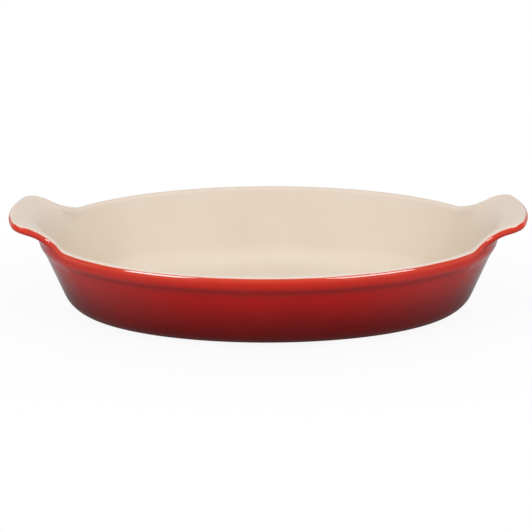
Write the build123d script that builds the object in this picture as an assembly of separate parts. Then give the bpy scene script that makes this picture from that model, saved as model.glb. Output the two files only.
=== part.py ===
"""Oval gratin dish in glazed stoneware, with two handles pressed in one piece with the dish.

The frame stands on the foot ring: +Z is up, +X runs along the dish from handle to handle, and the
origin is under the middle of the dish. Each skin of the dish is a straight loft through closed
outlines, from the floor over the rim and handles to the foot. An outline is worked out at the
stations of the rim, one quarter at a time. A section across the wall is given twice: at the plain
rim, and at the handles, where the rim climbs and reaches out. The outer skin belongs to the red
body, and the cream glaze is a coat laid into that body, up to the lip.
"""
from build123d import *
import math
import os

# Plain oval rim, without the handles
rim_length = 284.8
rim_width = 172.4
rim_height = 53.0

# Wall, lip and base of the glazed dish
lip_radius = 2.9
wall_lean_deg = 20.8
wall_top_inset = 0.28
base_outer_radius = 20.7
base_inner_radius = 16.5
floor_height = 7.0
coat = 0.45

# Roll under the rim, which turns in to the groove below it, and the wider roll under the handles
roll_drop = 5.2
roll_radius = 6.0
roll_turn_deg = 60.0
handle_roll_rise = 1.5
handle_roll_radius = 10.0
handle_roll_turn_deg = 46.0
roll_blend_start = 108.0
roll_blend_end = 132.0

# Handle outline, seen from above
handle_width = 62.6
handle_reach = 17.5
handle_corner_radius = 11.0
handle_end_radius = 70.0
root_corner_radius = 12.0
root_blend_start = 118.0
root_blend_end = 138.0

# Handle profile, seen from the side
climb_start = 123.0
climb_deg = 29.0
handle_rise = 13.2
climb_bend_radius = 8.0
level_bend_radius = 40.0
full_edge_reach = 8.0
handle_dish_depth = 0.8
handle_dish_width = 5.0
scoop_softness = 3.6
scoop_least_softness = 0.2
scoop_half_width = 34.0
under_fillet_radius = 8.0

# Inner wall where the scoop of the handle begins
scoop_height = 40.0

# Foot ring and underside
base_clearance = 0.3
glaze_end_angle_deg = 13.0
foot_inset = 31.4
foot_height = 1.0
foot_ring_width = 6.4
foot_edge = 0.4

# Glaze line: where the cream coat meets the red one, as an angle round the lip from its outer side
glaze_line_deg = 42.0

# Outline stations in one quarter of the rim
rim_stations = 14
root_stations = 4
side_stations = 1
corner_stations = 4
end_stations = 3
rim_spacing_power = 1.3
halvings = 60

# Steps round each bend of a section across the wall
lip_inner_steps = 5
lip_outer_steps = 2
edge_steps = 3
fillet_steps = 4
roll_steps = 3
base_steps = 5

# How far out and how far down the outlines of the scoop lie, from the lip to the wall
scoop_reach_shares = (0.7, 0.45, 0.22, 0)
scoop_drop_shares = (0.2, 0.42, 0.66, 1)
scoop_rise_power = 3
scoop_lip_power = 4

# How far down the rim's outer side the edge of the handle ends and the fillet under it starts
edge_end_share = 0.4
fillet_start_share = 0.62

half_length = rim_length / 2
half_width = rim_width / 2
handle_half_width = handle_width / 2
tip = half_length + handle_reach
quarter_turn = math.pi / 2
lean = math.radians(wall_lean_deg)
slope = math.tan(lean)
climb = math.radians(climb_deg)
lip_height = rim_height - lip_radius


def mix(low, high, share):
    """A value part of the way from low to high."""
    return low + (high - low) * share


def ease(share):
    """A smooth step from 0 to 1."""
    share = min(max(share, 0), 1)
    return share * share * (3 - 2 * share)


def lift(x):
    """How far the handle's side profile stands above the plain rim."""
    first_tangent = climb_bend_radius * math.tan(climb / 2)
    last_tangent = level_bend_radius * math.tan(climb / 2)
    level_corner = climb_start + handle_rise / math.tan(climb)
    along = abs(x)
    if along < climb_start - first_tangent:
        return 0
    if along < climb_start + first_tangent * math.cos(climb):
        run = along - climb_start + first_tangent
        return climb_bend_radius - math.sqrt(climb_bend_radius**2 - run**2)
    if along < level_corner - last_tangent * math.cos(climb):
        return (along - climb_start) * math.tan(climb)
    if along < level_corner + last_tangent:
        run = level_corner + last_tangent - along
        return handle_rise - level_bend_radius + math.sqrt(level_bend_radius**2 - run**2)
    return handle_rise


def rim_point(angle):
    """Point and outward normal of the plain oval rim."""
    point = (half_length * math.cos(angle), half_width * math.sin(angle))
    normal = (half_width * math.cos(angle), half_length * math.sin(angle))
    size = math.hypot(*normal)
    return point, (normal[0] / size, normal[1] / size)


def root_angle():
    """Angle on the oval where the hollow corner of the handle's root leaves it."""
    low, high = 0, quarter_turn
    for _ in range(halvings):
        middle = (low + high) / 2
        point, normal = rim_point(middle)
        if point[1] + root_corner_radius * normal[1] > handle_half_width + root_corner_radius:
            high = middle
        else:
            low = middle
    return (low + high) / 2


def outline_stations():
    """Stations of a quarter outline: angle on the oval, edge point, inward direction, handle share."""
    leave = root_angle()
    stations = []
    for i in range(rim_stations):
        angle = leave + (quarter_turn - leave) * (1 - i / rim_stations) ** rim_spacing_power
        point, normal = rim_point(angle)
        stations.append((angle, point, normal))
    edge = []
    start, normal = rim_point(leave)
    centre = (start[0] + root_corner_radius * normal[0], start[1] + root_corner_radius * normal[1])
    first = math.atan2(-normal[1], -normal[0])
    for i in range(root_stations):
        turn = mix(first, -quarter_turn, i / root_stations)
        out = (-math.cos(turn), -math.sin(turn))
        edge.append(((centre[0] - root_corner_radius * out[0],
                      centre[1] - root_corner_radius * out[1]), out))
    corner_y = handle_half_width - handle_corner_radius
    end_x = tip - handle_end_radius
    corner_x = end_x + math.sqrt((handle_end_radius - handle_corner_radius) ** 2 - corner_y**2)
    for i in range(side_stations):
        edge.append(((mix(centre[0], corner_x, i / side_stations), handle_half_width), (0, 1)))
    contact = math.atan2(corner_y, corner_x - end_x)
    for i in range(corner_stations):
        turn = mix(quarter_turn, contact, i / corner_stations)
        out = (math.cos(turn), math.sin(turn))
        edge.append(((corner_x + handle_corner_radius * out[0],
                      corner_y + handle_corner_radius * out[1]), out))
    for i in range(end_stations + 1):
        turn = mix(contact, 0, i / end_stations)
        out = (math.cos(turn), math.sin(turn))
        edge.append(((end_x + handle_end_radius * out[0], handle_end_radius * out[1]), out))
    lengths = [0]
    for (here, _), (there, _) in zip(edge, edge[1:]):
        lengths.append(lengths[-1] + math.dist(here, there))
    for (point, out), length in zip(edge, lengths):
        stations.append((leave * (1 - length / lengths[-1]), point, out))
    full = []
    for angle, point, out in stations:
        share = ease((point[0] - root_blend_start) / (root_blend_end - root_blend_start))
        inward = (mix(-math.cos(angle), -out[0], share), mix(-math.sin(angle), -out[1], share))
        full.append((angle, point, inward, share))
    return full


stations = outline_stations()


def oval_inset(x, y):
    """How far inside the rim the oval through a point lies, on the axes."""
    low, high = -handle_reach, half_width
    for _ in range(halvings):
        middle = (low + high) / 2
        if (x / (half_length - middle)) ** 2 + (y / (half_width - middle)) ** 2 < 1:
            low = middle
        else:
            high = middle
    return (low + high) / 2


def place(station, inset, handle_inset, reach):
    """Plan position: on the inset oval at reach 0, along the rim and handle edge at reach 1."""
    angle, point, inward, share = station
    along = mix(inset, handle_inset, share)
    edge_x = point[0] + inward[0] * along
    edge_y = point[1] + inward[1] * along
    oval_x = (half_length - inset) * math.cos(angle)
    oval_y = (half_width - inset) * math.sin(angle)
    return mix(oval_x, edge_x, reach), mix(oval_y, edge_y, reach)


def ledge(station):
    """How far the rounding of the handle's lower edge reaches in. Where the handle is shallow, less."""
    angle, point = station[:2]
    reach = math.dist(point, rim_point(angle)[0])
    return lip_radius * ease(reach / full_edge_reach)


inner_tangent = quarter_turn + quarter_turn - lean
inner_top_inset = lip_radius - lip_radius * math.cos(inner_tangent)
inner_top_height = lip_height + lip_radius * math.sin(inner_tangent)


def inner_wall_height(inset):
    """Height of the inner wall, carried straight on, at an inset from the rim."""
    return inner_top_height - (inset - inner_top_inset) / slope


def inner_wall_inset(height):
    """Inset of the straight inner wall at a height."""
    return inner_top_inset + (inner_top_height - height) * slope


def outer_wall_inset(height):
    """Inset of the straight outer wall at a height."""
    return wall_top_inset + (lip_height - height) * slope


def lip_level(turn):
    """Outline round the lip, at an angle from its outer side. Past the top the handle dips."""
    inset = lip_radius - lip_radius * math.cos(turn)
    height = lip_height + lip_radius * math.sin(turn)
    handle_inset = inset
    handle_height = height
    if turn > quarter_turn:
        handle_inset = lip_radius + lip_radius * (turn - quarter_turn)
        dip = ease((handle_inset - lip_radius) / handle_dish_width)
        handle_height = rim_height - handle_dish_depth * dip
    level = []
    for station in stations:
        x, y = place(station, inset, handle_inset, 1)
        level.append((x, y, mix(height, handle_height, station[3]) + lift(x)))
    return level


def scoop_level(reach, inset):
    """Outline between the inner wall and the lip, where the wall bends over on to the handle."""
    level = []
    for station in stations:
        share = station[3]
        x, y = place(station, inset, lip_radius + lip_radius * (inner_tangent - quarter_turn), reach)
        rise = lift(x) * reach**scoop_rise_power
        plain = inner_wall_height(inset) + rise
        wall = inner_wall_height(oval_inset(x, y)) + rise
        top = rim_height - handle_dish_depth + lift(x)
        soft = max(scoop_softness * (1 - (y / scoop_half_width) ** 2), scoop_least_softness)
        bend = (wall + top) / 2 - math.hypot((wall - top) / 2, soft)
        level.append((x, y, mix(plain, mix(bend, top, reach**scoop_lip_power), share)))
    return level


def oval_level(inset, height):
    """Plain oval outline."""
    return [((half_length - inset) * math.cos(station[0]),
             (half_width - inset) * math.sin(station[0]), height) for station in stations]


def roll_share(root_x):
    """How much the roll under the rim has widened towards the handle."""
    return ease((abs(root_x) - roll_blend_start) / (roll_blend_end - roll_blend_start))


def roll_top_height(root_x):
    """Height where the roll starts."""
    rise = handle_roll_rise * (1 - math.exp(-lift(root_x) / handle_roll_rise))
    return rim_height - roll_drop + rise


def edge_level(share, turn):
    """Outline down the outer side of the rim, which is the rounded lower edge of the handle."""
    handle_height = lip_height - lip_radius * math.sin(turn)
    level = []
    for station in stations:
        roll_top = roll_top_height(half_length * math.cos(station[0]))
        height = mix(lip_height, roll_top, share)
        x, y = place(station, 0, ledge(station) * (1 - math.cos(turn)), 1)
        level.append((x, y, mix(height, handle_height, station[3]) + lift(x)))
    return level


def under_level(share, reach, drop):
    """Outline under the handle, from its edge to the fillet at the wall."""
    level = []
    for station in stations:
        x, y = place(station, 0, ledge(station), reach)
        root_x = half_length * math.cos(station[0])
        roll_top = roll_top_height(root_x)
        plain = mix(lip_height, roll_top, share) + lift(x) * reach
        under = lip_height - lip_radius
        fall = under + lift(root_x) - roll_top
        level.append((x, y, mix(plain, under + lift(x) - drop * fall, station[3])))
    return level


def roll_level(share):
    """Outline on the roll under the rim, from its top at 0 to the groove at 1."""
    level = []
    for station in stations:
        root_x = half_length * math.cos(station[0])
        widen = roll_share(root_x)
        radius = mix(roll_radius, handle_roll_radius, widen)
        turn = share * math.radians(mix(roll_turn_deg, handle_roll_turn_deg, widen))
        inset = radius - radius * math.cos(turn)
        height = roll_top_height(root_x) - radius * math.sin(turn)
        level.append(((half_length - inset) * math.cos(station[0]),
                      (half_width - inset) * math.sin(station[0]), height))
    return level


def base_levels(radius, centre_height, wall_inset, last_turn, steps):
    """Outlines round the bend between the wall and the base, from the wall downwards."""
    centre_inset = wall_inset(centre_height - radius * math.sin(lean)) + radius * math.cos(lean)
    levels = []
    for i in range(steps + 1):
        turn = mix(lean, last_turn, i / steps)
        levels.append(oval_level(centre_inset - radius * math.cos(turn),
                                 centre_height - radius * math.sin(turn)))
    return levels


def under_coat(levels, depth):
    """The same outlines moved into the dish, at right angles to its skin. The first one is flat."""
    moved = []
    for k, level in enumerate(levels):
        last = levels[max(k - 1, 0)]
        following = levels[min(k + 1, len(levels) - 1)]
        row = []
        for j, (x, y, z) in enumerate(level):
            mirrored_start = (-level[1][0], level[1][1], level[1][2])
            mirrored_end = (level[-2][0], -level[-2][1], level[-2][2])
            before = level[j - 1] if j > 0 else mirrored_start
            after = level[j + 1] if j < len(level) - 1 else mirrored_end
            along = Vector(*after) - Vector(*before)
            across = Vector(*following[j]) - Vector(*last[j])
            out = along.cross(across).normalized() if k > 0 else Vector(0, 0, 1)
            row.append((x - out.X * depth, y - out.Y * depth, z - out.Z * depth))
        moved.append(row)
    return moved


def spread(steps):
    """Even shares from 0 to 1, both ends included."""
    return [i / steps for i in range(steps + 1)]


glaze_line = math.radians(glaze_line_deg)
glaze_end = quarter_turn - math.radians(glaze_end_angle_deg)
fillet_reach = under_fillet_radius / (handle_reach - lip_radius)

# Inner skin, from the flat floor up the wall and over the handle's scoop to the glaze line
floor_bend = base_levels(base_inner_radius, base_inner_radius + floor_height, inner_wall_inset,
                         quarter_turn, base_steps)[::-1]
scoop = []
for reach, share in zip(scoop_reach_shares, scoop_drop_shares):
    scoop.append(scoop_level(reach, mix(inner_top_inset, inner_wall_inset(scoop_height), share)))
lip_inside = [lip_level(mix(inner_tangent, glaze_line, share)) for share in spread(lip_inner_steps)]
inner_levels = floor_bend + scoop[::-1] + lip_inside

# Outer skin, from the glaze line round the edge, under the handles to the groove, and to the foot
lip_outside = [lip_level(mix(glaze_line, 0, share)) for share in spread(lip_outer_steps)]
rim_edge = [edge_level(edge_end_share * share, quarter_turn * share) for share in spread(edge_steps)]
root_fillet = []
for share in spread(fillet_steps):
    turn = quarter_turn * (1 - share)
    root_fillet.append(under_level(mix(fillet_start_share, 1, share),
                                   fillet_reach * (1 - math.cos(turn)), 1 - math.sin(turn)))
roll = [roll_level(share) for share in spread(roll_steps)]
foot_bend = base_levels(base_outer_radius, base_outer_radius + base_clearance, outer_wall_inset,
                        glaze_end, base_steps)
foot_seat = oval_level(foot_inset, foot_height)
outer_levels = lip_outside + rim_edge[1:] + root_fillet + roll[1:] + foot_bend + [foot_seat]


def curve(level):
    """A quarter outline as one smooth edge, square to the middle planes at both ends."""
    ends = [0]
    for here, there in zip(stations, stations[1:]):
        ends.append(ends[-1] + math.dist(here[1], there[1]))
    return Wire([Edge.make_spline(level, tangents=[(1, 0, 0), (0, -1, 0)], parameters=ends)])


def all_round(quarter):
    """A quarter of the dish and its three mirror images."""
    half = [quarter, quarter.mirror(Plane.YZ)]
    return half + [piece.mirror(Plane.XZ) for piece in half]


def skin(levels):
    """Faces of the skin through the outlines, all round the dish."""
    faces = []
    for face in Shell.make_loft([curve(level) for level in levels], ruled=True).faces():
        faces += all_round(face)
    return faces


def disc(level):
    """Flat face inside a level outline."""
    return [Face(Wire([edge.edge() for edge in all_round(curve(level))]))]


def solid(faces):
    """Closed solid bounded by the faces."""
    return Solid(Shell(faces))


def foot_oval(inset, height):
    """Oval of the foot ring at a height."""
    return Plane.XY.offset(height) * Ellipse(half_length - inset, half_width - inset)


def foot_ring():
    """Bare ring under the base, with both of its lower edges taken off."""
    far = foot_inset + foot_ring_width
    outside = loft([foot_oval(foot_inset + foot_edge, 0), foot_oval(foot_inset, foot_edge),
                    foot_oval(foot_inset, foot_height)], ruled=True)
    inside = loft([foot_oval(far - foot_edge, 0), foot_oval(far, foot_edge),
                   foot_oval(far, foot_height)], ruled=True)
    return outside - inside


coat_levels = under_coat(inner_levels, coat)
bedding = skin(coat_levels) + disc(coat_levels[0]) + skin([inner_levels[-1], coat_levels[-1]])

nodes = {
    "stoneware_body": solid(skin(outer_levels) + disc(foot_seat) + bedding),
    "inner_glaze": solid(skin(inner_levels) + disc(inner_levels[0]) + bedding),
    "foot_ring": foot_ring(),
}

os.makedirs("parts", exist_ok=True)
for name, shape in nodes.items():
    export_step(shape, f"parts/{name}.step")
    print(name, round(shape.volume), shape.is_valid)
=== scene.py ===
"""Oval gratin dish: red glaze outside, cream glaze inside, on a bare stoneware foot ring.

The dish stands on z = 0 with +X from handle to handle. Both glazes are skins that are drawn out
loop by loop: a ring of edges is extruded, and each new ring is laid on the next outline of the
section across the wall. The section is given at the plain rim and at the handles, and blends
from one to the other in between.
"""
import bmesh
import bpy
from bpy.props import FloatProperty, FloatVectorProperty, IntProperty, PointerProperty
from bpy.types import Operator, Panel, PropertyGroup
from collections import namedtuple
from math import atan2, cos, dist, exp, hypot, pi, radians, sin, sqrt, tan, tau
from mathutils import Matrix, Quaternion, Vector
from types import SimpleNamespace


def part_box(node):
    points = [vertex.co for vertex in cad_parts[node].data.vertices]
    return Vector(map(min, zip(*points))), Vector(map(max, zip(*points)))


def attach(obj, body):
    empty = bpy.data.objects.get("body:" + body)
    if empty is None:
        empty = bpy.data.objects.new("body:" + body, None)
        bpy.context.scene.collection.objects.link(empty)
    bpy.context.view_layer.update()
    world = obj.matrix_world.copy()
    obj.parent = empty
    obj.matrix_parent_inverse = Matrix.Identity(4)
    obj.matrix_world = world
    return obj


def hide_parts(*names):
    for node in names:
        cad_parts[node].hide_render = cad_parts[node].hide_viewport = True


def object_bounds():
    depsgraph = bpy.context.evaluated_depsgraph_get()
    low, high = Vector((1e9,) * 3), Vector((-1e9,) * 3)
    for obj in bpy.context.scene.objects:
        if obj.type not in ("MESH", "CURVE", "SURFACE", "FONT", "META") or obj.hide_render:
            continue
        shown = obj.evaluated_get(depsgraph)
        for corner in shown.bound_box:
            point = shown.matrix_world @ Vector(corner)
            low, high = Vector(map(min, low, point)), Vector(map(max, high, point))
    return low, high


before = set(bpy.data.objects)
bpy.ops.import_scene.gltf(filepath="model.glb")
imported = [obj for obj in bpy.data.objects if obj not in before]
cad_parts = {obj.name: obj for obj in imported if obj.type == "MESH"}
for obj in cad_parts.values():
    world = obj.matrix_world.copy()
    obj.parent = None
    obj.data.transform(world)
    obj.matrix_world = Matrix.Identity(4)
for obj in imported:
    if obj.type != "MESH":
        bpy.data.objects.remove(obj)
cad_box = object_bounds()

bl_info = {
    "name": "Gratin dish",
    "version": (1, 0, 0),
    "blender": (4, 5, 0),
    "location": "3D View > Sidebar > Gratin dish",
    "description": "Oval glazed stoneware gratin dish with two pressed handles",
    "category": "Object",
}

QUARTER_TURN = pi / 2
# Rounds of halving that close in on an angle or an inset
HALVINGS = 50
# Waves of the glaze line round the dish: how many, how high beside each other, where they start
GLAZE_WAVES = ((5, 1.0, 0.4), (11, 0.7, 2.1), (23, 0.6, 4.0), (41, 0.5, 1.2))
# Marks on a glaze or the clay: the noise they follow, as bumps to the metre, octaves and strength
# of the finer ones, from where to where in that noise they show, and how strongly
CREAM_CLOUDS = ((28, 3.0, 0.5), (0.35, 0.75), 0.35)
CREAM_SPECKS = ((900, 2.0, 0.5), (0.70, 0.82), 0.10)
RED_MOTTLE = ((420, 3.0, 0.6), (0.45, 0.75), 0.10)
CLAY_GRAINS = ((1800, 4.0, 0.65), (0.42, 0.72), 0.5)
# Roughness: the least, the noise that adds to it, and how much it adds
CREAM_ROUGHNESS = (0.34, (60, 2.0, 0.5), 0.12)
RED_ROUGHNESS = (0.10, (80, 2.0, 0.5), 0.08)
CLAY_ROUGHNESS = (0.78, (1800, 4.0, 0.65), 0.15)
# Ripple: the noise of its swell, that of its fine waves, their height beside it, and the depth
CREAM_RIPPLE = ((45, 2.0, 0.5), (260, 2.0, 0.5), 0.12, 0.00025)
RED_RIPPLE = ((40, 2.0, 0.5), (230, 2.0, 0.5), 0.04, 0.00008)
CLAY_RIPPLE = ((1800, 4.0, 0.65), (420, 3.0, 0.5), 0.6, 0.00012)
# Cream glaze: where it blushes and where it is paler, in metres from the glaze line or above the
# table, and how strongly that shows. The paler band is partly where the glaze thins and partly a
# painted highlight where the lip and the handle tops catch the light
CREAM_BLUSH_FROM_LINE = (0.0, 0.0006)
CREAM_PALER_FROM_LINE = (0.0015, 0.0075)
CREAM_PALER_HEIGHT = (0.042, 0.056)
CREAM_BLUSH = 0.5
CREAM_PALENESS = 0.8
# Red glaze: where it changes, in metres below the top of the rim or along the dish from its
# middle, and how far that strays. A painted shade darkens it towards the sides, where the lamps
# light it less; it has some shine under the handles, and shines most along the rim's edge
RED_EDGE_TO_ROLL = (0.0010, 0.0048)
RED_ROLL_TO_WALL = (0.0050, 0.0120)
RED_WALL_TO_BASE = (0.0055, 0.0450)
RED_SIDE_SHADE_BELOW = (0.0080, 0.0220)
RED_SIDE_SHADE_ALONG = (0.030, 0.140)
RED_UNDER_BELOW = (0.0080, 0.0140)
RED_UNDER_ALONG = (0.112, 0.140)
RED_SHINE_BELOW = (0.0015, 0.0030)
RED_SHINE_ALONG = (0.143, 0.149)
RED_CLOUDS = (34, 3.0, 0.5)
RED_RIM_WAVER = 0.0012
RED_WALL_WAVER = 0.0100
# How strongly the painted side shade shows, how dark the painted shade in the groove and along a
# handle's lower edge is, and how rough the glaze is there
RED_SIDE_SHADE = 0.2
RED_UNDER_COAT = 0.15
RED_GROOVE_AND_EDGE_SHADE = 0.9
RED_GROOVE_AND_EDGE_ROUGHNESS = 0.25
# Clay: its clouds, how strongly they show, and its dark grains beside its colour
CLAY_CLOUDS = (90, 3.0, 0.5)
CLAY_CLOUDINESS = 0.3
CLAY_DARKNESS = 0.62
# Softboxes: name, place, width and height, all in metres, and the setting with the power
SOFTBOXES = (("front_left", (-0.71, -0.76, 0.82), (0.50, 0.50), "key_power"),
             ("front_right", (0.69, -0.79, 0.82), (0.66, 0.50), "key_power"),
             ("overhead", (0.0, -0.1, 1.25), (0.90, 0.60), "top_power"))
# Where the seen floor turns to white and where the mirrored floor is out of its painted shadow
# under the dish, in half dishes from the middle, and where that floor brightens along the dish, in
# metres
FLOOR_WHITENS = (1.1, 2.2)
SHADE_ENDS = (0.60, 1.10)
SIDES_BRIGHTEN = (0.040, 0.150)
# Where the mirrored white backdrop ends upwards, and where it begins from front to back, as sines
BACKDROP_ENDS = (0.25, 0.5)
BACKDROP_BEGINS = (-0.1, 0.4)
# Side of the studio floor, in lengths of the dish
FLOOR_SIZE = 30
WHITE = (1, 1, 1, 1)
# A place round the dish: its angle on the oval, its point on the edge in plan, the direction
# inwards, how far the rim is a handle there, from 0 to 1, and its x on the plain oval
Station = namedtuple("Station", "turn edge inward blend root")

dish_length = cad_box[1].x - cad_box[0].x
dish_width = cad_box[1].y - cad_box[0].y
dish_height = cad_box[1].z - cad_box[0].z
foot_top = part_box("foot_ring")[1]


def setting(kind, **always):
    """A function that makes a setting of a kind from its name, description and default."""
    def made(name, description, default):
        return kind(name=name, description=description, default=default, **always)
    return made


def angle(name, description, degrees):
    """An angle that a user may change."""
    return FloatProperty(name=name, description=description, default=radians(degrees),
                         unit="ROTATION")


length = setting(FloatProperty, unit="LENGTH", precision=5)
portion = setting(FloatProperty, min=0, max=1)
amount = setting(FloatProperty)
count = setting(IntProperty)
colour = setting(FloatVectorProperty, subtype="COLOR", size=3, min=0, max=1)


class DishSizes(PropertyGroup):
    """Sizes of the dish."""
    handle_reach: length("Handle reach", "How far a handle stands out past the rim", 0.0175)
    handle_width: length("Handle width", "Width of a handle", 0.0626)
    handle_rise: length("Handle rise", "How far a handle stands above the rim", 0.0132)
    handle_corner: length("Handle corner", "Radius of a handle's outer corners", 0.011)
    handle_end: length("Handle end", "Radius of a handle's bowed end", 0.070)
    root_corner: length("Root corner", "Radius of the hollow corner beside a handle", 0.012)
    climb_start: length("Climb start", "Distance from the middle to where the rim climbs", 0.123)
    climb: angle("Climb", "Slope of the rim on its way up to a handle", 29)
    climb_bend: length("Climb bend", "Radius of the bend at the foot of the climb", 0.008)
    level_bend: length("Level bend", "Radius of the bend at the top of the climb", 0.040)
    root_blend_start: length("Root blend start", "Where the rim begins to be handle", 0.118)
    root_blend_end: length("Root blend end", "Where it is all handle", 0.138)
    top_dip: length("Handle dip", "Depth of the shallow dish in a handle's top", 0.0008)
    top_dip_width: length("Handle dip width", "Width over which the handle's top dips", 0.005)
    scoop_softness: length("Scoop softness", "How softly the wall bends on to a handle", 0.0036)
    scoop_width: length("Scoop width", "Half the width of a handle's scoop", 0.034)
    scoop_rise: amount("Scoop rise", "Power by which a scoop rises", 3)
    scoop_to_lip: amount("Scoop to lip", "Power by which a scoop nears the handle's top", 4)
    scoop_least: length("Least softness", "Softness of that bend at a scoop's sides", 0.0002)
    scoop_height: length("Scoop height", "Height on the inner wall where a scoop starts", 0.040)
    full_edge: length("Full edge", "Reach at which a handle's lower edge is fully round", 0.008)
    under_fillet: length("Under fillet", "Fillet between a handle's underside and the wall", 0.008)
    lip: length("Lip radius", "Radius of the rounded lip", 0.0029)
    lean: angle("Wall lean", "How far the wall leans outwards", 20.8)
    wall_top: length("Wall top inset", "Inset of the outer wall at the lip", 0.00028)
    base_outer: length("Outer base bend", "Radius of the bend under the outer wall", 0.0207)
    base_inner: length("Inner base bend", "Radius of the bend inside the dish", 0.0165)
    base_clearance: length("Base clearance", "Height of the outer base bend over the table", 0.0003)
    floor: length("Floor height", "Height of the cooking floor", 0.007)
    roll: length("Roll radius", "Radius of the roll under the rim", 0.006)
    roll_drop: length("Roll drop", "From the top of the rim down to the roll", 0.0052)
    roll_turn: angle("Roll turn", "How far the roll turns in to its groove", 60)
    handle_roll: length("Handle roll", "Radius of the swelling under a handle", 0.010)
    handle_roll_rise: length("Handle roll rise", "How much higher that swelling starts", 0.0015)
    handle_roll_turn: angle("Handle roll turn", "How far that swelling turns in", 46)
    roll_blend_start: length("Roll blend start", "Where the roll begins to widen", 0.108)
    roll_blend_end: length("Roll blend end", "Where the roll is widest", 0.132)
    # Painted shade: how far the darkening reaches from the groove, and up from a handle's lower
    # edge
    groove_reach: length("Groove reach", "How far the pooled glaze spreads from the groove", 0.0030)
    drip_reach: length("Drip reach", "How far glaze gathers up from a handle's lower edge", 0.0012)
    edge_end: portion("Edge end", "How far down to the roll a handle's rounded edge ends", 0.4)
    fillet_start: portion("Fillet start", "How far down to the roll its fillet starts", 0.62)
    glaze_line: angle("Glaze line", "Where the glazes meet, round the lip from its outer side", 47)
    glaze_wander: angle("Glaze wander", "How far the hand-wiped glaze line strays", 3.5)
    handle_wander: angle("Handle wander", "How far that line strays round a handle", 16)
    glaze_end: angle("Glaze end", "Where the red glaze ends, round the outer base bend", 77)
    coat: length("Coat", "Thickness of the cream coat", 0.00045)
    lap: length("Lap", "How far the red glaze lies under the cream coat", 0.00022)
    lap_turn: angle("Lap turn", "How far the red glaze runs on under the cream coat", 14)
    lap_rise: portion("Lap rise", "Part of that lap over which it comes to the surface", 0.25)
    shell: length("Shell", "Thickness given to the red skin", 0.0012)


class DishDetail(PropertyGroup):
    """How finely the skins are drawn."""
    rim_stations: count("Rim stations", "Steps along a quarter rim", 44)
    root_stations: count("Root stations", "Steps in a root corner", 10)
    side_stations: count("Side stations", "Steps along a handle's side", 3)
    corner_stations: count("Corner stations", "Steps in a corner", 12)
    end_stations: count("End stations", "Steps along half an end", 9)
    bend_loops: count("Bend loops", "Loops in a base bend", 14)
    wall_loops: count("Wall loops", "Loops on a straight wall", 16)
    scoop_loops: count("Scoop loops", "Loops from wall to lip", 26)
    lip_loops: count("Lip loops", "Loops round half a lip", 16)
    roll_loops: count("Roll loops", "Loops on the roll", 12)
    under_loops: count("Under loops", "Loops under a handle", 8)
    groove_rounds: count("Groove rounds", "Times the groove is eased", 16)
    root_rounds: count("Root rounds", "Times the inside is eased beside a handle", 12)
    root_full: portion("Root full", "How far into a handle that easing is full", 0.5)
    rim_crowding: amount("Rim crowding", "How the rim's stations crowd to the handles, from 1", 1.3)
    wall_crowding: amount("Wall crowding", "How the wall's loops crowd to the groove, from 1", 1.7)


class DishColours(PropertyGroup):
    """Colours of the glazes and the clay, in linear light."""
    cream: colour("Cream", "Cream glaze inside the dish", (0.812, 0.705, 0.588))
    # Paler cream over the lip and up high: partly where the glaze thins, partly a painted highlight
    cream_lip: colour("Cream lip", "Cream glaze where it thins over the lip", (0.82, 0.70, 0.600))
    cream_deep: colour("Cream deep", "Cream glaze where it lies thick", (0.74, 0.62, 0.50))
    red_edge: colour("Red edge", "Red glaze where it thins at the edge", (0.74, 0.050, 0.018))
    red_roll: colour("Red roll", "Red glaze on the roll", (0.53, 0.018, 0.009))
    # Dark red: the painted shade in the groove and under a handle's edge, and the random mottle
    red_pooled: colour("Red pooled", "Red glaze where it has run together", (0.29, 0.002, 0.001))
    red_wall: colour("Red wall", "Red glaze high on the wall", (0.44, 0.005, 0.004))
    red_base: colour("Red base", "Red glaze low on the wall", (0.135, 0.002, 0.002))
    clay: colour("Clay", "Bare fired stoneware", (0.50, 0.37, 0.26))
    floor: colour("Floor", "Studio floor", (0.92, 0.92, 0.92))


class StageSettings(PropertyGroup):
    """Camera and light."""
    lens: amount("Lens", "Focal length in millimetres", 111.2)
    distance: length("Distance", "From the camera to the dish", 1.0283)
    elevation: angle("Elevation", "Angle of the camera above the table", 20.73)
    azimuth: angle("Azimuth", "Angle of the camera round the dish", 0.08)
    tilt: angle("Tilt", "Turn of the camera about its own axis", -0.17)
    target_height: length("Target height", "Height that the camera looks at", 0.030)
    shift_x: amount("Shift X", "Sideways shift of the frame", -0.0044)
    shift_y: amount("Shift Y", "Upward shift of the frame", -0.0061)
    key_power: amount("Key power", "Each front softbox, in watts", 4.5)
    top_power: amount("Top power", "Softbox overhead, in watts", 2.2)
    sky: amount("Sky", "Strength of the surrounding light", 0.50)
    room: amount("Room", "Strength of the mirrored room beside the backdrop", 0.12)
    floor_glow: portion("Floor glow", "How much of the floor by the dish is seen as white", 0.92)
    floor_front: portion("Floor front", "Strength of the floor in front, as mirrored", 0.17)
    floor_sides: portion("Floor sides", "Strength of the floor at the sides, as mirrored", 0.52)
    # Painted shadow: a dim glow for the floor under the dish, seen only in the glaze
    shade: portion("Shade", "Strength of the floor right under the dish, as mirrored", 0.07)


def mix(low, high, share):
    """A value part of the way from low to high."""
    return low + (high - low) * share


def ease(share):
    """A smooth step from 0 to 1."""
    share = min(max(share, 0), 1)
    return share * share * (3 - 2 * share)


def shares(steps):
    """Even shares from 0 to 1, both ends included."""
    return [i / steps for i in range(steps + 1)]


def halve(low, high, holds):
    """Where a test that holds at the low value and fails at the high one begins to fail."""
    for _ in range(HALVINGS):
        middle = (low + high) / 2
        if holds(middle):
            low = middle
        else:
            high = middle
    return (low + high) / 2


def arc(centre, radius, first, last, steps):
    """Points along an arc, but for its last one, and the way outwards at each."""
    found = []
    for i in range(steps):
        turn = mix(first, last, i / steps)
        out = (cos(turn), sin(turn))
        found.append(((centre[0] + radius * out[0], centre[1] + radius * out[1]), out))
    return found


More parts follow.
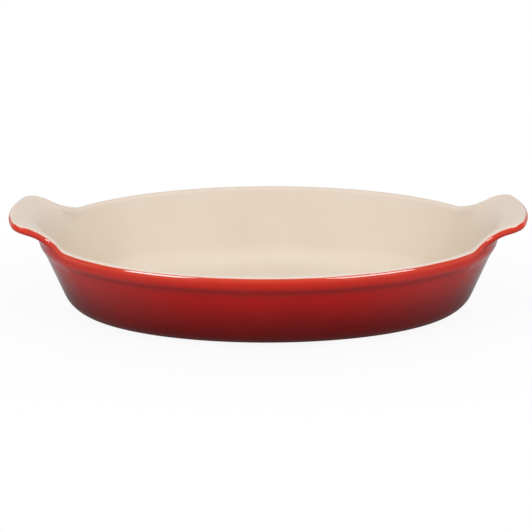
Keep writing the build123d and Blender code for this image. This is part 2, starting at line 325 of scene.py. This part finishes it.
class Dish:
    """The outlines of the dish. An outline is a list of (x, y, z), one point for each station."""

    def __init__(self, sizes, detail):
        self.s = sizes
        self.d = detail
        self.half_length = dish_length / 2 - sizes.handle_reach
        self.half_width = dish_width / 2
        self.rim_height = dish_height - sizes.handle_rise
        self.lip_height = self.rim_height - sizes.lip
        self.slope = tan(sizes.lean)
        # Round the lip, angles run from 0 at its outer side to the inner wall's tangent
        self.tangent = pi - sizes.lean
        self.inner_inset = sizes.lip - sizes.lip * cos(self.tangent)
        self.inner_height = self.lip_height + sizes.lip * sin(self.tangent)
        self.stations = self.all_stations(self.quarter_stations())

    def lift(self, x):
        """How far the rim stands above its plain height."""
        s = self.s
        first = s.climb_bend * tan(s.climb / 2)
        last = s.level_bend * tan(s.climb / 2)
        corner = s.climb_start + s.handle_rise / tan(s.climb)
        along = abs(x)
        if along < s.climb_start - first:
            return 0
        if along < s.climb_start + first * cos(s.climb):
            run = along - s.climb_start + first
            return s.climb_bend - sqrt(s.climb_bend**2 - run**2)
        if along < corner - last * cos(s.climb):
            return (along - s.climb_start) * tan(s.climb)
        if along < corner + last:
            run = corner + last - along
            return s.handle_rise - s.level_bend + sqrt(s.level_bend**2 - run**2)
        return s.handle_rise

    def rim_point(self, turn):
        """Point and outward normal of the plain oval rim."""
        point = (self.half_length * cos(turn), self.half_width * sin(turn))
        normal = (self.half_width * cos(turn), self.half_length * sin(turn))
        size = hypot(*normal)
        return point, (normal[0] / size, normal[1] / size)

    def root_turn(self):
        """Angle on the oval where the hollow corner beside the handle leaves it."""
        corner = self.s.root_corner

        def beside(turn):
            point, normal = self.rim_point(turn)
            return point[1] + corner * normal[1] <= self.s.handle_width / 2 + corner
        return halve(0, QUARTER_TURN, beside)

    def quarter_stations(self):
        """Stations from the side of the dish to a handle's tip."""
        s, d = self.s, self.d
        leave = self.root_turn()
        found = []
        for i in range(d.rim_stations):
            turn = leave + (QUARTER_TURN - leave) * (1 - i / d.rim_stations) ** d.rim_crowding
            point, normal = self.rim_point(turn)
            found.append((turn, point, normal))
        start, normal = self.rim_point(leave)
        centre = (start[0] + s.root_corner * normal[0], start[1] + s.root_corner * normal[1])
        first = atan2(-normal[1], -normal[0])
        edge = [(point, (-out[0], -out[1])) for point, out in
                arc(centre, s.root_corner, first, -QUARTER_TURN, d.root_stations)]
        half = s.handle_width / 2
        corner_y = half - s.handle_corner
        end_x = self.half_length + s.handle_reach - s.handle_end
        corner_x = end_x + sqrt((s.handle_end - s.handle_corner) ** 2 - corner_y**2)
        for i in range(d.side_stations):
            edge.append(((mix(centre[0], corner_x, i / d.side_stations), half), (0, 1)))
        contact = atan2(corner_y, corner_x - end_x)
        edge += arc((corner_x, corner_y), s.handle_corner, QUARTER_TURN, contact, d.corner_stations)
        edge += arc((end_x, 0), s.handle_end, contact, 0, d.end_stations)
        edge.append(((end_x + s.handle_end, 0), (1, 0)))
        run = [0]
        for (here, _), (there, _) in zip(edge, edge[1:]):
            run.append(run[-1] + dist(here, there))
        for (point, out), along in zip(edge, run):
            found.append((leave * (1 - along / run[-1]), point, out))
        full = []
        for turn, point, out in found:
            blend = ease((point[0] - s.root_blend_start) / (s.root_blend_end - s.root_blend_start))
            inward = (mix(-cos(turn), -out[0], blend), mix(-sin(turn), -out[1], blend))
            full.append(Station(turn, point, inward, blend, self.half_length * cos(turn)))
        return full

    def all_stations(self, quarter):
        """A quarter's stations carried all round, as (station, sign of x, sign of y)."""
        ring = [(station, 1, 1) for station in quarter]
        ring += [(station, 1, -1) for station in quarter[-2::-1]]
        ring += [(station, -1, -1) for station in quarter[1:]]
        ring += [(station, -1, 1) for station in quarter[-2:0:-1]]
        return ring

    def oval_inset(self, x, y):
        """How far inside the rim the oval through a point lies."""
        def inside(inset):
            return (x / (self.half_length - inset)) ** 2 + (y / (self.half_width - inset)) ** 2 < 1
        return halve(-self.s.handle_reach, self.half_width, inside)

    def place(self, station, inset, handle_inset, reach):
        """Plan position: on the inset oval at reach 0, along the rim and handle edge at reach 1."""
        along = mix(inset, handle_inset, station.blend)
        return tuple(mix(oval, edge + inward * along, reach) for oval, edge, inward in
                     zip(self.on_oval(station, inset), station.edge, station.inward))

    def inner_wall_height(self, inset):
        """Height of the inner wall at an inset from the rim."""
        return self.inner_height - (inset - self.inner_inset) / self.slope

    def inner_wall_inset(self, height):
        """Inset of the inner wall at a height."""
        return self.inner_inset + (self.inner_height - height) * self.slope

    def outer_wall_inset(self, height):
        """Inset of the outer wall at a height."""
        return self.s.wall_top + (self.lip_height - height) * self.slope

    def dip(self, inset):
        """Depth of the shallow dish in a handle's top at an inset from the handle's edge."""
        return self.s.top_dip * ease((inset - self.s.lip) / self.s.top_dip_width)

    def lip_outline(self, turn_of, radius=None):
        """Outline round the lip, at angles from its outer side worked out from the glaze line's."""
        lip = self.s.lip
        radius = radius or lip

        def point(station, index):
            turn = turn_of(self.line(index))
            inset = lip - radius * cos(turn)
            height = self.lip_height + radius * sin(turn)
            handle_inset, handle_height = inset, height
            if turn > QUARTER_TURN:
                handle_inset = lip + lip * (turn - QUARTER_TURN)
                handle_height = self.rim_height - (lip - radius) - self.dip(handle_inset)
            x, y = self.place(station, inset, handle_inset, 1)
            return x, y, mix(height, handle_height, station.blend) + self.lift(x)
        return self.outline(point)

    def scoop_outline(self, reach, inset):
        """Outline where the inner wall bends over on to a handle, between the wall and the lip."""
        s = self.s

        def point(station, index):
            crest = s.lip + s.lip * (self.tangent - QUARTER_TURN)
            x, y = self.place(station, inset, crest, reach)
            rise = self.lift(x) * reach**s.scoop_rise
            plain = self.inner_wall_height(inset) + rise
            wall = self.inner_wall_height(self.oval_inset(x, y)) + rise
            top = self.rim_height - self.dip(dist((x, y), station.edge)) + self.lift(x)
            soft = max(s.scoop_softness * (1 - (y / s.scoop_width) ** 2), s.scoop_least)
            bend = (wall + top) / 2 - hypot((wall - top) / 2, soft)
            return x, y, mix(plain, mix(bend, top, reach**s.scoop_to_lip), station.blend)
        return self.outline(point)

    def on_oval(self, station, inset):
        """Plan position on the oval at an inset from the rim."""
        return ((self.half_length - inset) * cos(station.turn),
                (self.half_width - inset) * sin(station.turn))

    def oval_outline(self, inset, height):
        """Plain oval outline."""
        return self.outline(lambda station, index: (*self.on_oval(station, inset), height))

    def widening(self, station):
        """How much the roll under the rim has widened towards the handle."""
        start, end = self.s.roll_blend_start, self.s.roll_blend_end
        return ease((station.root - start) / (end - start))

    def roll_top(self, station):
        """Height where the roll starts."""
        highest = self.s.handle_roll_rise
        rise = highest * (1 - exp(-self.lift(station.root) / highest))
        return self.rim_height - self.s.roll_drop + rise

    def ledge(self, station):
        """How far a handle's rounded lower edge reaches in, less where the handle is shallow."""
        reach = dist(station.edge, self.rim_point(station.turn)[0])
        return self.s.lip * ease(reach / self.s.full_edge)

    def edge_outline(self, share, turn):
        """Outline down the outer side of the rim and round a handle's lower edge."""
        s = self.s

        def point(station, index):
            height = mix(self.lip_height, self.roll_top(station), share)
            x, y = self.place(station, 0, self.ledge(station) * (1 - cos(turn)), 1)
            under = self.lip_height - s.lip * sin(turn)
            return x, y, mix(height, under, station.blend) + self.lift(x)
        return self.outline(point)

    def under_outline(self, share, reach, drop):
        """Outline under a handle, from its edge to the fillet at the wall."""
        s = self.s

        def point(station, index):
            x, y = self.place(station, 0, self.ledge(station), reach)
            roll_top = self.roll_top(station)
            plain = mix(self.lip_height, roll_top, share) + self.lift(x) * reach
            under = self.lip_height - s.lip
            fall = under + self.lift(station.root) - roll_top
            return x, y, mix(plain, under + self.lift(x) - drop * fall, station.blend)
        return self.outline(point)

    def roll_outline(self, share):
        """Outline on the roll under the rim, from its top at 0 to the groove at 1."""
        s = self.s

        def point(station, index):
            widen = self.widening(station)
            radius = mix(s.roll, s.handle_roll, widen)
            turn = share * mix(s.roll_turn, s.handle_roll_turn, widen)
            inset = radius - radius * cos(turn)
            return (*self.on_oval(station, inset), self.roll_top(station) - radius * sin(turn))
        return self.outline(point)

    def bend_outlines(self, radius, centre_height, wall_inset, last_turn):
        """Outlines round the bend between the wall and the base, from the wall downwards."""
        lean = self.s.lean
        centre = wall_inset(centre_height - radius * sin(lean)) + radius * cos(lean)
        found = []
        for share in shares(self.d.bend_loops):
            turn = mix(lean, last_turn, share)
            found.append(self.oval_outline(centre - radius * cos(turn),
                                           centre_height - radius * sin(turn)))
        return found

    def outline(self, point):
        """A point for each station all round, from the formula for a quarter."""
        found = []
        for index, (station, side_x, side_y) in enumerate(self.stations):
            x, y, z = point(station, index)
            found.append(Vector((x * side_x, y * side_y, z)))
        return found

    def between(self, low, high, crowding=1):
        """Outlines on the straight wall between two others, neither included."""
        steps = shares(self.d.wall_loops)[1:-1]
        return [[a.lerp(b, step**crowding) for a, b in zip(low, high)] for step in steps]

    def eased(self, outlines, rounds):
        """The outlines with the bends across them eased, so that a crease becomes a hollow."""
        for _ in range(rounds):
            inner = [[(a + b + b + c) / 4 for a, b, c in zip(*three)]
                     for three in zip(outlines, outlines[1:], outlines[2:])]
            outlines = [outlines[0]] + inner + [outlines[-1]]
        return outlines

    def eased_at_handles(self, outlines, rounds):
        """The outlines eased at the handles, and left as they are along the plain rim."""
        weights = [ease(station.blend / self.d.root_full) for station, _, _ in self.stations]
        return [[a.lerp(b, weight) for a, b, weight in zip(sharp, soft, weights)]
                for sharp, soft in zip(outlines, self.eased(outlines, rounds))]

    def line(self, index):
        """Where the glazes meet at a station, round the lip: it strays as if wiped by hand."""
        around = tau * index / len(self.stations)
        total = sum(height * sin(waves * around + start)
                    for waves, height, start in GLAZE_WAVES)
        reach = mix(self.s.glaze_wander, self.s.handle_wander, self.stations[index][0].blend)
        return self.s.glaze_line + reach * total / sum(height for _, height, _ in GLAZE_WAVES)

    def cream_outlines(self):
        """Outlines of the cream coat, from the floor up to the glaze line."""
        s, d = self.s, self.d
        bend = self.bend_outlines(s.base_inner, s.base_inner + s.floor, self.inner_wall_inset,
                                  QUARTER_TURN)[::-1]
        scoop = []
        for share in shares(d.scoop_loops)[:-1]:
            inset = mix(self.inner_wall_inset(s.scoop_height), self.inner_inset, share)
            scoop.append(self.scoop_outline((ease(share) + share**2) / 2, inset))
        lip = [self.lip_outline(lambda line, share=share: mix(self.tangent, line, share))
               for share in shares(d.lip_loops)]
        crest = round(d.lip_loops * (self.tangent - QUARTER_TURN) / (self.tangent - s.glaze_line))
        soft = self.eased_at_handles(scoop + lip[:crest], d.root_rounds)
        return bend + self.between(bend[-1], scoop[0]) + soft + lip[crest:]

    def red_outlines(self):
        """Outlines of the red glaze, from under the cream coat down to the foot ring."""
        s, d = self.s, self.d
        lapped = s.lip - s.lap
        found = [self.lip_outline(lambda line: line + s.lap_turn, lapped),
                 self.lip_outline(lambda line: line + s.lap_turn * s.lap_rise, lapped)]
        found += [self.lip_outline(lambda line, share=share: mix(line, 0, share))
                  for share in shares(d.lip_loops // 2)[:-1]]
        found += [self.edge_outline(s.edge_end * share, QUARTER_TURN * share)
                  for share in shares(d.lip_loops // 2)]
        fillet_reach = s.under_fillet / (s.handle_reach - s.lip)
        fillet = []
        for share in shares(d.bend_loops // 2):
            turn = QUARTER_TURN * (1 - share)
            fillet.append(self.under_outline(mix(s.fillet_start, 1, share),
                                             fillet_reach * (1 - cos(turn)), 1 - sin(turn)))
        for share in shares(d.under_loops)[1:-1]:
            found.append(self.under_outline(mix(s.edge_end, s.fillet_start, share),
                                            mix(1, fillet_reach, share), 0))
        roll = [self.roll_outline(share) for share in shares(d.roll_loops)[1:]]
        bend = self.bend_outlines(s.base_outer, s.base_outer + s.base_clearance,
                                  self.outer_wall_inset, s.glaze_end)
        wall = self.between(roll[-1], bend[0], d.wall_crowding)
        last = self.oval_outline(self.half_width - foot_top.y, foot_top.z)
        return found + fillet + self.eased(roll + wall, d.groove_rounds) + bend + [last]

    def below_lip(self, index, point):
        """How far a point lies below the top of the rim at its own station."""
        station = self.stations[index][0]
        return self.rim_height + self.lift(station.edge[0]) - point.z

    def pooled(self, index, point):
        """Painted shade: how strongly the red is darkened in the groove under the roll and along a
        handle's lower edge, where shade falls.
        """
        s = self.s
        station = self.stations[index][0]
        groove = self.roll_top(station) - s.roll * sin(s.roll_turn)
        in_groove_shade = exp(-((point.z - groove) / s.groove_reach) ** 2)
        in_groove_shade *= 1 - self.widening(station)
        above_edge_shade = (s.lip + s.lip - self.below_lip(index, point)) / s.drip_reach
        return max(in_groove_shade, exp(-above_edge_shade**2) * station.blend)


def sizes_of(group):
    """The values of a property group as a plain object that reads fast."""
    return SimpleNamespace(**{name: getattr(group, name) for name in group.__annotations__})


def dish_of(context):
    """The dish with the sizes set in the scene."""
    return Dish(sizes_of(context.scene.gratin_sizes), sizes_of(context.scene.gratin_detail))


def deselect_all():
    """Leaves nothing selected."""
    if bpy.context.object and bpy.context.object.mode != "OBJECT":
        bpy.ops.object.mode_set(mode="OBJECT")
    bpy.ops.object.select_all(action="DESELECT")


def draw_out(name, outlines, up):
    """A skin drawn out of a ring of edges: each new ring is extruded and laid on its outline.

    The last ring is flat and gets filled, and that face looks up or down, away from the clay.
    """
    deselect_all()
    around = len(outlines[0])
    bpy.ops.mesh.primitive_circle_add(vertices=around, radius=dish_width / 2, fill_type="NOTHING")
    skin = bpy.context.object
    skin.name = name
    skin.data.name = name
    bpy.ops.object.mode_set(mode="EDIT")
    mesh = bmesh.from_edit_mesh(skin.data)
    station = mesh.verts.layers.int.new("station")
    mesh.verts.layers.int.new("ring")
    mesh.verts.ensure_lookup_table()
    for index, vertex in enumerate(mesh.verts):
        vertex[station] = index
        vertex.co = outlines[0][index]
    bpy.ops.mesh.select_all(action="SELECT")
    for number, outline in enumerate(outlines[1:], start=1):
        bpy.ops.mesh.extrude_region_move()
        mesh = bmesh.from_edit_mesh(skin.data)
        station = mesh.verts.layers.int["station"]
        ring = mesh.verts.layers.int["ring"]
        for vertex in mesh.verts:
            if vertex.select:
                vertex[ring] = number
                vertex.co = outline[vertex[station]]
    bpy.ops.mesh.edge_face_add()
    bpy.ops.mesh.select_all(action="SELECT")
    bpy.ops.mesh.normals_make_consistent(inside=False)
    mesh = bmesh.from_edit_mesh(skin.data)
    flat = max(mesh.faces, key=lambda face: len(face.verts))
    flat.normal_update()
    if (flat.normal.z > 0) != up:
        bpy.ops.mesh.flip_normals()
    bpy.ops.object.mode_set(mode="OBJECT")
    return skin


def thicken(skin, depth):
    """Gives the skin its thickness on the side that is hidden in the clay."""
    solid = skin.modifiers.new("Thickness", "SOLIDIFY")
    solid.thickness = depth
    solid.offset = -1
    bpy.ops.object.modifier_apply(modifier=solid.name)


def mark(skin, name, value):
    """Writes a value for each point of the skin, from its station, ring and place."""
    layer = skin.data.attributes.new(name, "FLOAT", "POINT")
    stations = skin.data.attributes["station"].data
    rings = skin.data.attributes["ring"].data
    for i, vertex in enumerate(skin.data.vertices):
        layer.data[i].value = value(stations[i].value, rings[i].value, vertex.co)


def seat(piece, node, material):
    """Puts the finished piece on its body, in place of its node, with its material."""
    piece.data.materials.clear()
    piece.data.materials.append(material)
    bpy.ops.object.shade_smooth()
    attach(piece, "root")
    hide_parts(node)


def sums(operation, swapped=False):
    """A method of Number that adds a Math node for an operation."""
    def made(self, other=0):
        first, second = (other, self) if swapped else (self, other)
        return self.shader.number("ShaderNodeMath", {"operation": operation},
                                  {0: first, 1: second})
    return made


class Number:
    """A socket of a node, so that shader maths reads as ordinary sums."""
    __add__ = sums("ADD")
    __radd__ = sums("ADD", True)
    __sub__ = sums("SUBTRACT")
    __rsub__ = sums("SUBTRACT", True)
    __mul__ = sums("MULTIPLY")
    __rmul__ = sums("MULTIPLY", True)
    __truediv__ = sums("DIVIDE")
    __rtruediv__ = sums("DIVIDE", True)
    __pow__ = sums("POWER")
    __rpow__ = sums("POWER", True)
    __abs__ = sums("ABSOLUTE")

    def __init__(self, shader, socket):
        self.shader = shader
        self.socket = socket


class Shader:
    """Builds the nodes of one material or of the world."""

    def __init__(self, owner):
        owner.use_nodes = True
        self.owner = owner
        self.tree = owner.node_tree
        self.output = next(node for node in self.tree.nodes if node.name.endswith("Output"))
        self.surface = self.tree.nodes.get("Principled BSDF")

    def node(self, kind, settings=(), sockets=()):
        """A node of a kind, with its settings made first and then its sockets filled or linked."""
        made = self.tree.nodes.new(kind)
        for key, value in dict(settings).items():
            setattr(made, key, value)
        self.fill(made, sockets)
        return made

    def fill(self, node, sockets):
        """Fills or links the sockets of a node."""
        for key, value in dict(sockets).items():
            if isinstance(value, Number):
                value = value.socket
            if isinstance(value, bpy.types.NodeSocket):
                self.tree.links.new(value, node.inputs[key])
            else:
                node.inputs[key].default_value = value

    def number(self, kind, settings=(), sockets=(), output=0):
        """The output of a new node as a number to do sums with."""
        return Number(self, self.node(kind, settings, sockets).outputs[output])

    def straight(self):
        """1 where the camera looks straight at something, else 0."""
        return Number(self, self.node("ShaderNodeLightPath").outputs["Is Camera Ray"])

    def mirrored(self):
        """1 where something is seen mirrored or through glass, else 0."""
        rays = self.node("ShaderNodeLightPath").outputs
        return Number(self, rays["Is Glossy Ray"]) + Number(self, rays["Is Transmission Ray"])

    def attribute(self, name):
        """The value that the piece's mesh carries under a name."""
        return self.number("ShaderNodeAttribute", {"attribute_name": name}, output="Fac")

    def place(self):
        """Where a point lies on the piece, in metres."""
        return self.node("ShaderNodeTexCoord").outputs["Object"]

    def axes(self, vector):
        """The x, y and z of a vector."""
        parts = self.node("ShaderNodeSeparateXYZ", (), {"Vector": vector}).outputs
        return tuple(Number(self, part) for part in parts)

    def noise(self, scale, detail, rough):
        """Smooth noise, about 0 to 1: bumps to the metre, octaves, strength of the finer ones."""
        sockets = {"Vector": self.place(), "Scale": scale, "Detail": detail, "Roughness": rough}
        return self.number("ShaderNodeTexNoise", (), sockets, "Fac")

    def span(self, value, low, high, first=0.0, last=1.0):
        """A value between two limits carried smoothly over to two others."""
        settings = {"interpolation_type": "SMOOTHSTEP"}
        sockets = {"Value": value, "From Min": low, "From Max": high, "To Min": first,
                   "To Max": last}
        return self.number("ShaderNodeMapRange", settings, sockets)

    def fade(self, value, low, high):
        """1 below one limit of a value, falling smoothly to 0 at the other."""
        return self.span(value, low, high, 1.0, 0.0)

    def blend(self, share, low, high):
        """A colour part of the way from low to high."""
        made = self.node("ShaderNodeMix", {"data_type": "RGBA"})
        colours = [socket for socket in made.inputs if socket.type == "RGBA"]
        for socket, value in zip(colours, (low, high)):
            if isinstance(value, bpy.types.NodeSocket):
                self.tree.links.new(value, socket)
            else:
                socket.default_value = (*value, 1)
        self.fill(made, {0: share})
        return [socket for socket in made.outputs if socket.type == "RGBA"][0]

    def marks(self, noise, shown, strength):
        """Marks that follow a noise, from where to where in it they show, and how strongly."""
        return self.span(self.noise(*noise), *shown) * strength

    def roughness(self, least, noise, more):
        """A roughness that a noise adds to."""
        return least + self.noise(*noise) * more

    def ripple(self, swell, fine, height, depth):
        """Normal of a surface with a swell and, on it, fine waves of a height beside it."""
        sockets = {"Height": self.noise(*swell) + self.noise(*fine) * height, "Distance": depth}
        return self.node("ShaderNodeBump", (), sockets).outputs["Normal"]

    def white(self, kind, strength):
        """White light of a strength: an Emission for a surface, a Background for the world."""
        return self.node(kind, (), {"Color": WHITE, "Strength": strength}).outputs[0]

    def either(self, share, first, second):
        """Two shaders mixed: the first at 0, the second at 1."""
        return self.node("ShaderNodeMixShader", (), {0: share, 1: first, 2: second}).outputs[0]


def cream_material(colours):
    """Glossy cream glaze: paler over the lip and up high, partly where it thins and partly as a
    painted highlight, warmer where it lies thick.
    """
    shader = Shader(bpy.data.materials.new("cream_glaze"))
    from_line = shader.attribute("from_line")
    tone = shader.blend(shader.marks(*CREAM_CLOUDS), colours.cream, colours.cream_deep)
    # Partly a painted highlight: paler near the glaze line and high up, where the lip and handle
    # tops catch light; partly the glaze thins there
    lip = shader.fade(from_line, *CREAM_PALER_FROM_LINE)
    handle = shader.span(shader.axes(shader.place())[2], *CREAM_PALER_HEIGHT)
    paler_band = lip + handle - lip * handle
    tone = shader.blend(paler_band * CREAM_PALENESS, tone, colours.cream_lip)
    tone = shader.blend(shader.marks(*CREAM_SPECKS), tone, colours.cream_deep)
    edge = shader.fade(from_line, *CREAM_BLUSH_FROM_LINE)
    tone = shader.blend(edge * CREAM_BLUSH, tone, colours.red_edge)
    shader.fill(shader.surface, {
        "Base Color": tone,
        "Roughness": shader.roughness(*CREAM_ROUGHNESS),
        "Normal": shader.ripple(*CREAM_RIPPLE),
        "IOR": 1.35,
    })
    return shader.owner


def red_material(colours):
    """Glossy red glaze: orange where it breaks over the rim and darker lower down, with painted
    shade at the sides, in the groove and along the handles' lower edges.
    """
    shader = Shader(bpy.data.materials.new("red_glaze"))
    pooled = shader.attribute("pooled")
    cloud = shader.noise(*RED_CLOUDS) - 0.5
    below = shader.attribute("below_lip") + cloud * RED_RIM_WAVER
    along = abs(shader.axes(shader.place())[0])
    tone = shader.blend(shader.span(below, *RED_EDGE_TO_ROLL), colours.red_edge, colours.red_roll)
    tone = shader.blend(shader.span(below, *RED_ROLL_TO_WALL), tone, colours.red_wall)
    low = shader.span(below + cloud * RED_WALL_WAVER, *RED_WALL_TO_BASE)
    tone = shader.blend(low, tone, colours.red_base)
    # Painted shade: the wall darkened towards the ends, below the rim, where the front lamps light
    # it less
    side = shader.span(along, *RED_SIDE_SHADE_ALONG) * shader.span(below, *RED_SIDE_SHADE_BELOW)
    tone = shader.blend(side * RED_SIDE_SHADE, tone, colours.red_base)
    # Painted shade in the groove under the roll and along a handle's lower edge
    tone = shader.blend(pooled * RED_GROOVE_AND_EDGE_SHADE, tone, colours.red_pooled)
    tone = shader.blend(shader.marks(*RED_MOTTLE), tone, colours.red_pooled)
    edge = shader.fade(below, *RED_SHINE_BELOW) * shader.fade(along, *RED_SHINE_ALONG)
    under = (shader.span(along, *RED_UNDER_ALONG)
             * shader.span(below, *RED_UNDER_BELOW))
    shader.fill(shader.surface, {
        "Base Color": tone,
        "Roughness": shader.roughness(*RED_ROUGHNESS) + pooled * RED_GROOVE_AND_EDGE_ROUGHNESS,
        "Normal": shader.ripple(*RED_RIPPLE),
        "IOR": 1.42,
        "Coat Weight": edge + under * RED_UNDER_COAT,
        "Coat Roughness": 0.04,
        "Coat IOR": 2.2,
    })
    return shader.owner


def clay_material(colours):
    """Bare fired stoneware: matt, sandy and pitted."""
    shader = Shader(bpy.data.materials.new("bare_stoneware"))
    spots = shader.marks(*CLAY_GRAINS) + shader.noise(*CLAY_CLOUDS) * CLAY_CLOUDINESS
    dark = tuple(CLAY_DARKNESS * value for value in colours.clay)
    shader.fill(shader.surface, {
        "Base Color": shader.blend(spots, colours.clay, dark),
        "Roughness": shader.roughness(*CLAY_ROUGHNESS),
        "Normal": shader.ripple(*CLAY_RIPPLE),
    })
    return shader.owner


class GRATIN_OT_inner_glaze(Operator):
    """Draws the cream coat out of the cooking floor, up the wall and over handles and lip"""
    bl_idname = "gratin.inner_glaze"
    bl_label = "Cream inside"

    def execute(self, context):
        dish = dish_of(context)
        outlines = dish.cream_outlines()[::-1]
        run = [[0] * len(outlines[0])]
        for here, there in zip(outlines, outlines[1:]):
            run.append([far + dist(a, b) for far, a, b in zip(run[-1], here, there)])
        coat = draw_out("inner_glaze_coat", outlines, True)
        mark(coat, "from_line", lambda station, ring, point: run[ring][station])
        thicken(coat, dish.s.coat)
        seat(coat, "inner_glaze", cream_material(context.scene.gratin_colours))
        return {"FINISHED"}


class GRATIN_OT_red_glaze(Operator):
    """Draws the red skin from under the cream coat, round rim and handles, down to the foot"""
    bl_idname = "gratin.red_glaze"
    bl_label = "Red outside"

    def execute(self, context):
        dish = dish_of(context)
        body = draw_out("red_stoneware", dish.red_outlines(), False)
        mark(body, "below_lip", lambda station, ring, point: dish.below_lip(station, point))
        mark(body, "pooled", lambda station, ring, point: dish.pooled(station, point))
        thicken(body, dish.s.shell)
        seat(body, "stoneware_body", red_material(context.scene.gratin_colours))
        return {"FINISHED"}


class GRATIN_OT_foot_ring(Operator):
    """Gives the bare foot ring its sandy clay"""
    bl_idname = "gratin.foot_ring"
    bl_label = "Bare foot ring"

    def execute(self, context):
        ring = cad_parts["foot_ring"]
        ring.data.materials.clear()
        ring.data.materials.append(clay_material(context.scene.gratin_colours))
        return {"FINISHED"}


class GRATIN_OT_stage(Operator):
    """Sets the dish on a pale studio floor under softboxes, and adds the camera"""
    bl_idname = "gratin.stage"
    bl_label = "Studio"

    def execute(self, context):
        stage = context.scene.gratin_stage
        deselect_all()
        self.add_floor(context, stage)
        self.add_world(context, stage)
        self.add_softboxes(stage)
        self.add_camera(context, stage)
        context.scene.view_settings.view_transform = "Standard"
        return {"FINISHED"}

    def add_floor(self, context, stage):
        """A pale floor that keeps the dish's soft shadow; as mirrored, it is a glow, with a painted
        shadow under the dish.
        """
        bpy.ops.mesh.primitive_plane_add(size=dish_length * FLOOR_SIZE)
        floor = context.object
        floor.name = "studio_floor"
        shader = Shader(bpy.data.materials.new("studio_floor"))
        shader.fill(shader.surface, {"Base Color": (*context.scene.gratin_colours.floor, 1),
                                     "Roughness": 0.9, "Specular IOR Level": 0.0})
        along, across, _ = shader.axes(shader.place())
        near = ((along / (dish_length / 2)) ** 2 + (across / (dish_width / 2)) ** 2) ** 0.5
        clear = shader.span(near, *FLOOR_WHITENS, stage.floor_glow, 1.0)
        sides = shader.span(abs(along), *SIDES_BRIGHTEN, stage.floor_front, stage.floor_sides)
        beside = shader.span(near, *SHADE_ENDS) * sides
        # Painted shadow: a dim glow in place of the lit floor under the dish, seen only in the
        # glaze
        painted_shadow = shader.white("ShaderNodeEmission", stage.shade)
        plain = shader.either(shader.mirrored(), shader.surface.outputs[0], painted_shadow)
        share = shader.straight() * clear + shader.mirrored() * beside
        both = shader.either(share, plain, shader.white("ShaderNodeEmission", 1.0))
        shader.fill(shader.output, {"Surface": both})
        floor.data.materials.append(shader.owner)

    def add_world(self, context, stage):
        """Even light all round. It is seen as white, and mirrored as a backdrop in a dim room."""
        shader = Shader(bpy.data.worlds.new("studio"))
        context.scene.world = shader.owner
        _, back, height = shader.axes(shader.node("ShaderNodeTexCoord").outputs["Generated"])
        low = shader.fade(height, *BACKDROP_ENDS)
        behind = shader.span(back, *BACKDROP_BEGINS)
        lit = shader.white("ShaderNodeBackground", stage.sky)
        dim = shader.white("ShaderNodeBackground", stage.room)
        room = shader.either(shader.mirrored(), lit, dim)
        share = shader.straight() + shader.mirrored() * low * behind
        both = shader.either(share, room, shader.white("ShaderNodeBackground", 1.0))
        shader.fill(shader.output, {"Surface": both})

    def add_softboxes(self, stage):
        """Two softboxes before the front corners and one overhead, all aimed at the dish."""
        target = Vector((0, 0, stage.target_height))
        for name, place, size, power in SOFTBOXES:
            aim = (target - Vector(place)).to_track_quat("-Z", "Y")
            bpy.ops.object.light_add(type="AREA", location=place, rotation=aim.to_euler())
            lamp = bpy.context.object
            lamp.name = "softbox_" + name
            lamp.data.shape = "RECTANGLE"
            lamp.data.size, lamp.data.size_y = size
            lamp.data.energy = getattr(stage, power)

    def add_camera(self, context, stage):
        """The camera at the photograph's angle."""
        back = Vector((sin(stage.azimuth) * cos(stage.elevation),
                       -cos(stage.azimuth) * cos(stage.elevation),
                       sin(stage.elevation)))
        place = back * stage.distance + Vector((0, 0, stage.target_height))
        bpy.ops.object.camera_add(location=place)
        camera = context.object
        camera.rotation_mode = "QUATERNION"
        look = (-back).to_track_quat("-Z", "Y")
        camera.rotation_quaternion = look @ Quaternion((0, 0, 1), stage.tilt)
        camera.data.lens = stage.lens
        camera.data.shift_x = stage.shift_x
        camera.data.shift_y = stage.shift_y
        context.scene.camera = camera


class GRATIN_PT_panel(Panel):
    """Lists the steps in the 3D view's sidebar"""
    bl_idname = "GRATIN_PT_panel"
    bl_label = "Gratin dish"
    bl_space_type = "VIEW_3D"
    bl_region_type = "UI"
    bl_category = "Gratin dish"

    def draw(self, context):
        for operator in OPERATORS:
            self.layout.operator(operator.bl_idname)
        for group in (getattr(context.scene, name) for name in GROUPS):
            box = self.layout.box()
            for name in group.__annotations__:
                box.prop(group, name)


OPERATORS = (GRATIN_OT_inner_glaze, GRATIN_OT_red_glaze, GRATIN_OT_foot_ring, GRATIN_OT_stage)
GROUPS = {"gratin_sizes": DishSizes, "gratin_detail": DishDetail, "gratin_colours": DishColours,
          "gratin_stage": StageSettings}


def register():
    """Registers the classes and hangs the settings on the scene."""
    for made in (*GROUPS.values(), *OPERATORS, GRATIN_PT_panel):
        bpy.utils.register_class(made)
    for name, group in GROUPS.items():
        setattr(bpy.types.Scene, name, PointerProperty(type=group))


def unregister():
    """Takes the settings and the classes away again."""
    for name in GROUPS:
        delattr(bpy.types.Scene, name)
    for made in (GRATIN_PT_panel, *OPERATORS[::-1], *list(GROUPS.values())[::-1]):
        bpy.utils.unregister_class(made)


def main():
    """Makes every piece and the stage."""
    register()
    bpy.ops.gratin.inner_glaze()
    bpy.ops.gratin.red_glaze()
    bpy.ops.gratin.foot_ring()
    bpy.ops.gratin.stage()


if __name__ == "__main__":
    main()
